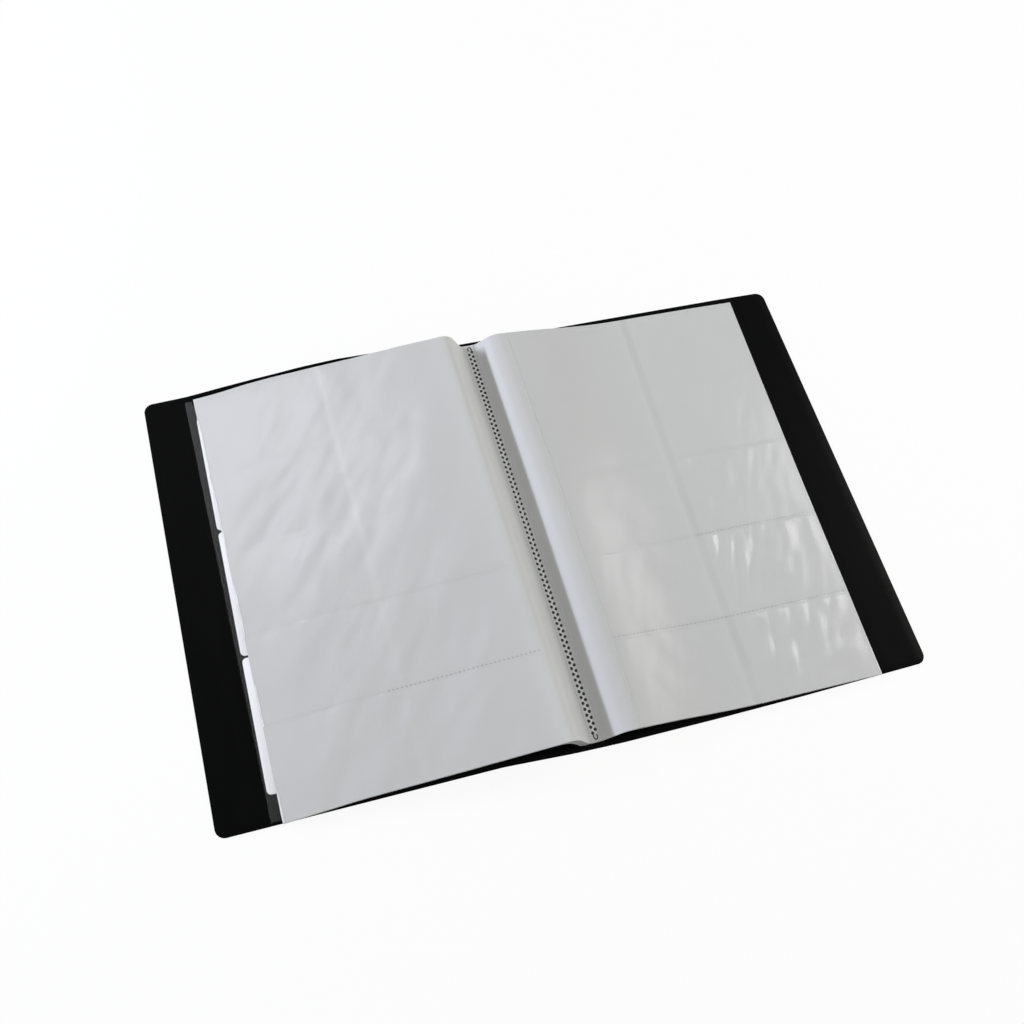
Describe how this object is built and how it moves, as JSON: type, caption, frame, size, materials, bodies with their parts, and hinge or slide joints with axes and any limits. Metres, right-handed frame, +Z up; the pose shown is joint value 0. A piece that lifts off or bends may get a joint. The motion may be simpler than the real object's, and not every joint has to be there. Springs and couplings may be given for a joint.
{
  "type": "business card album",
  "caption": "Open album with a black scored cover, welded white pocket leaves in two columns, a dotted gutter weld and a clear cover pocket with cards.",
  "frame": {"origin": "under the middle of the spine, on the surface that the open album lies on", "axes": "+X from the spine towards the back cover's fore edge, +Y along the spine towards the head, +Z up from the table"},
  "size_m": [0.49, 0.31, 0.0235],
  "materials": {
    "cover": "satin black polypropylene sheet with a fine grain",
    "leaf_sheet": "white opaque polypropylene leaf, smooth",
    "pocket_film": "clear glossy polypropylene pocket film, slightly wrinkled",
    "card": "blank white card with rounded corners"
  },
  "bodies": {
    "spine": {"spine": "cover", "gutter_weld_strip": "leaf_sheet"},
    "front_cover": {"front_cover": "cover", "cover_pocket_film": "pocket_film"},
    "back_cover": {"back_cover": "cover"},
    "left_margins": {"left_leaf_2_margin": "leaf_sheet", "left_leaf_3_margin": "leaf_sheet", "left_leaf_4_margin": "leaf_sheet", "left_leaf_5_margin": "leaf_sheet"},
    "left_leaves": {"left_leaf_2_sheet": "leaf_sheet", "left_leaf_2_upper_film": "pocket_film", "left_leaf_2_lower_film": "pocket_film", "left_leaf_3_sheet": "leaf_sheet", "left_leaf_3_upper_film": "pocket_film", "left_leaf_3_lower_film": "pocket_film", "left_leaf_4_sheet": "leaf_sheet", "left_leaf_4_upper_film": "pocket_film", "left_leaf_4_lower_film": "pocket_film", "left_leaf_5_sheet": "leaf_sheet", "left_leaf_5_upper_film": "pocket_film", "left_leaf_5_lower_film": "pocket_film"},
    "turning_margin": {"left_leaf_1_margin": "leaf_sheet"},
    "turning_band": {"left_leaf_1_fold_band": "leaf_sheet"},
    "turning_leaf": {"left_leaf_1_sheet": "leaf_sheet", "left_leaf_1_upper_film": "pocket_film", "left_leaf_1_lower_film": "pocket_film"},
    "right_margins": {"right_leaf_1_margin": "leaf_sheet", "right_leaf_2_margin": "leaf_sheet", "right_leaf_3_margin": "leaf_sheet", "right_leaf_4_margin": "leaf_sheet", "right_leaf_5_margin": "leaf_sheet"},
    "right_leaves": {"right_leaf_1_sheet": "leaf_sheet", "right_leaf_1_upper_film": "pocket_film", "right_leaf_1_lower_film": "pocket_film", "right_leaf_2_sheet": "leaf_sheet", "right_leaf_2_upper_film": "pocket_film", "right_leaf_2_lower_film": "pocket_film", "right_leaf_3_sheet": "leaf_sheet", "right_leaf_3_upper_film": "pocket_film", "right_leaf_3_lower_film": "pocket_film", "right_leaf_4_sheet": "leaf_sheet", "right_leaf_4_upper_film": "pocket_film", "right_leaf_4_lower_film": "pocket_film", "right_leaf_5_sheet": "leaf_sheet", "right_leaf_5_upper_film": "pocket_film", "right_leaf_5_lower_film": "pocket_film"},
    "card_1": {"card_1": "card"},
    "card_2": {"card_2": "card"},
    "card_3": {"card_3": "card"}
  },
  "joints": [
    {"name": "front_cover_hinge", "type": "hinge", "parent": "spine", "child": "front_cover", "pos_m": [-0.013, 0, 0.0008], "axis": [0, 1, 0], "range_deg": [0, 90]},
    {"name": "back_cover_hinge", "type": "hinge", "parent": "spine", "child": "back_cover", "pos_m": [0.013, 0, 0.0008], "axis": [0, -1, 0], "range_deg": [0, 90]},
    {"name": "left_margin_hinge", "type": "hinge", "parent": "spine", "child": "left_margins", "pos_m": [-0.004, 0, 0.0044], "axis": [0, 1, 0], "range_deg": [0, 30]},
    {"name": "left_leaf_fold", "type": "hinge", "parent": "left_margins", "child": "left_leaves", "pos_m": [-0.01783, 0, 0.02274], "axis": [0, 1, 0], "range_deg": [0, 66]},
    {"name": "right_margin_hinge", "type": "hinge", "parent": "spine", "child": "right_margins", "pos_m": [0.004, 0, 0.0044], "axis": [0, -1, 0], "range_deg": [0, 42]},
    {"name": "right_leaf_fold", "type": "hinge", "parent": "right_margins", "child": "right_leaves", "pos_m": [0.01885, 0, 0.01729], "axis": [0, -1, 0], "range_deg": [0, 53.5]},
    {"name": "leaf_turn", "type": "hinge", "parent": "left_leaves", "child": "turning_band", "pos_m": [-0.004, 0, 0.0044], "axis": [0, -1, 0], "range_deg": [-90, 0]},
    {"name": "turning_margin_hinge", "type": "hinge", "parent": "left_margins", "child": "turning_margin", "pos_m": [-0.004, 0, 0.0044], "axis": [0, -1, 0], "range_deg": [-90, 0]},
    {"name": "turning_leaf_fold", "type": "hinge", "parent": "turning_band", "child": "turning_leaf", "pos_m": [-0.02289, 0, 0.02349], "axis": [0, -1, 0], "range_deg": [-100, 0]},
    {"name": "card_1_slide", "type": "slide", "parent": "front_cover", "child": "card_1", "axis": [-1, 0, 0], "range_m": [0, 0.06]},
    {"name": "card_2_slide", "type": "slide", "parent": "front_cover", "child": "card_2", "axis": [-1, 0, 0], "range_m": [0, 0.06]},
    {"name": "card_3_slide", "type": "slide", "parent": "front_cover", "child": "card_3", "axis": [-1, 0, 0], "range_m": [0, 0.06]}
  ],
  "couplings": [
    {"joint": "left_margin_hinge", "follows": "front_cover_hinge", "ratio": 0.33333},
    {"joint": "left_leaf_fold", "follows": "front_cover_hinge", "ratio": 0.73333},
    {"joint": "turning_margin_hinge", "follows": "leaf_turn", "ratio": 1},
    {"joint": "right_margin_hinge", "follows": "back_cover_hinge", "ratio": 0.46666},
    {"joint": "right_leaf_fold", "follows": "back_cover_hinge", "ratio": 0.59444},
    {"joint": "turning_leaf_fold", "follows": "leaf_turn", "ratio": 1.1111}
  ]
}
